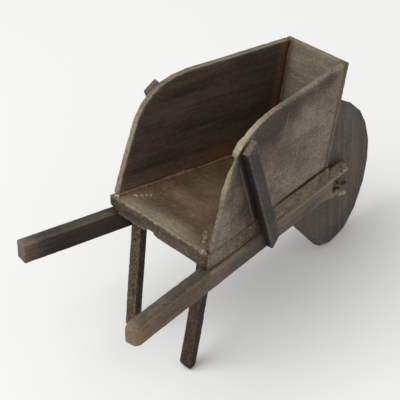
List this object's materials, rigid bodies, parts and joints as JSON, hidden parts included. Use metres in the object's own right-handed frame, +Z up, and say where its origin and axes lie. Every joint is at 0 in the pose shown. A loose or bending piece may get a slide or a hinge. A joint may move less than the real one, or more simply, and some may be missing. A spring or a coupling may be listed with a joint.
{
  "type": "wheelbarrow",
  "caption": "Small dark-stained wooden wheelbarrow: a tray open at the rear and top, square shafts as handles, raked legs, slanting side stays and a sawn wooden disc wheel.",
  "frame": {"origin": "On the ground, under the middle of the barrow's bounding box, as it stands on its two feet and its wheel.", "axes": "+Y forward, from the handles to the wheel; +Z up, square to the ground; +X to the right of someone holding the handles. The tray floor slopes 8.8 degrees down towards the wheel."},
  "size_m": [0.0534, 0.1212, 0.074],
  "materials": {
    "floor_wood": "thin dark stain on sawn wood, dull",
    "board_wood": "thin dark stain on sawn wood, dull",
    "shaft_wood": "thin dark stain, worn paler on the edges, dull",
    "leg_wood": "thin dark stain, dull",
    "stay_wood": "heavy dark stain, dull",
    "wheel_wood": "grey-brown stain with open grain, dull",
    "axle_wood": "dark dowel, dull"
  },
  "bodies": {
    "barrow": {"floor_board": "floor_wood", "side_right": "board_wood", "side_left": "board_wood", "front_board": "board_wood", "shaft_right": "shaft_wood", "shaft_left": "shaft_wood", "leg_right": "leg_wood", "leg_left": "leg_wood", "stay_right": "stay_wood", "stay_left": "stay_wood"},
    "wheel_set": {"wheel": "wheel_wood", "axle": "axle_wood"}
  },
  "joints": [
    {"name": "wheel_spin", "type": "hinge", "parent": "barrow", "child": "wheel_set", "pos_m": [0.00592, 0.03652, 0.02676], "axis": [0.9858, 0.1642, 0.0364], "continuous": true}
  ]
}
